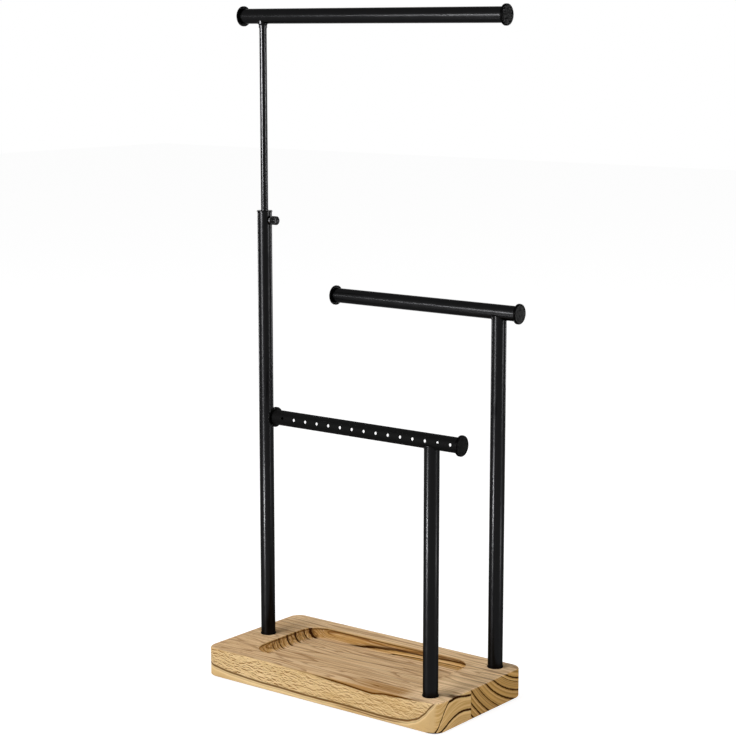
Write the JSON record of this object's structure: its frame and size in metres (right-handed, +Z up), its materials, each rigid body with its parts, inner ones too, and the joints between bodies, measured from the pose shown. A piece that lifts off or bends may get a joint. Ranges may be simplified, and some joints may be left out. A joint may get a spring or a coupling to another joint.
{
  "type": "jewellery stand",
  "caption": "Free-standing jewellery stand: a wooden base with a routed tray, two fixed steel T-bars and a taller one that slides, swivels and is clamped by a thumb screw.",
  "frame": {"origin": "centre of the wooden base's underside; the four pads reach 1 mm below it", "axes": "+X along the base's long side, from the tall post to the two short posts; +Y to the back; +Z up"},
  "size_m": [0.2725, 0.125, 0.5785],
  "materials": {
    "wood": "light tan softwood with dark brown grain, sanded, matt oil",
    "pad_rubber": "matt",
    "black_steel": "smooth satin black paint on steel tube",
    "matt_black_steel": "matt black powder coat on steel tube",
    "black_plastic": "matt moulded black plastic",
    "bush_steel": "satin black steel",
    "screw_steel": "zinc-plated",
    "nylon": "natural nylon",
    "thumb_screw_black": "black oxide with fine flutes"
  },
  "bodies": {
    "root": {"wood_base": "wood", "base_pad_front_left": "pad_rubber", "base_pad_front_right": "pad_rubber", "base_pad_back_left": "pad_rubber", "base_pad_back_right": "pad_rubber", "tall_post_tube": "black_steel", "mid_post_tube": "black_steel", "front_post_tube": "black_steel", "mid_bar_tube": "black_steel", "earring_bar_tube": "matt_black_steel", "mid_bar_cap_left": "black_plastic", "mid_bar_cap_right": "black_plastic", "earring_bar_cap_left": "black_plastic", "earring_bar_cap_right": "black_plastic", "tall_post_plug": "black_plastic", "mid_post_plug": "black_plastic", "front_post_plug": "black_plastic", "guide_bush": "bush_steel", "tall_post_screw": "screw_steel", "mid_post_screw": "screw_steel", "front_post_screw": "screw_steel", "tall_post_washer": "screw_steel", "mid_post_washer": "screw_steel", "front_post_washer": "screw_steel"},
    "height_slider": {"rod_guide_foot": "nylon"},
    "swivel_bar": {"inner_rod": "black_steel", "rod_foot_screw": "screw_steel", "rod_collar": "black_steel", "top_bar_tube": "black_steel", "top_bar_cap_left": "black_plastic", "top_bar_cap_right": "black_plastic"},
    "clamp_tip": {"thumb_screw_tip": "nylon"},
    "clamp_screw": {"thumb_screw_stud": "screw_steel", "thumb_screw_head": "thumb_screw_black"}
  },
  "joints": [
    {"name": "bar_height", "type": "slide", "parent": "root", "child": "height_slider", "axis": [0, 0, 1], "range_m": [-0.153, 0.03]},
    {"name": "bar_swivel", "type": "hinge", "parent": "height_slider", "child": "swivel_bar", "pos_m": [-0.1067, 0, 0.35], "axis": [0, 0, 1], "continuous": true},
    {"name": "clamp_travel", "type": "slide", "parent": "root", "child": "clamp_tip", "axis": [1, 0, 0], "range_m": [0, 0.0014]},
    {"name": "clamp_turn", "type": "hinge", "parent": "clamp_tip", "child": "clamp_screw", "pos_m": [-0.1067, 0, 0.396], "axis": [1, 0, 0], "range_deg": [0, 721]}
  ],
  "couplings": [
    {"joint": "clamp_turn", "follows": "clamp_travel", "rad_per_m": 8976}
  ]
}
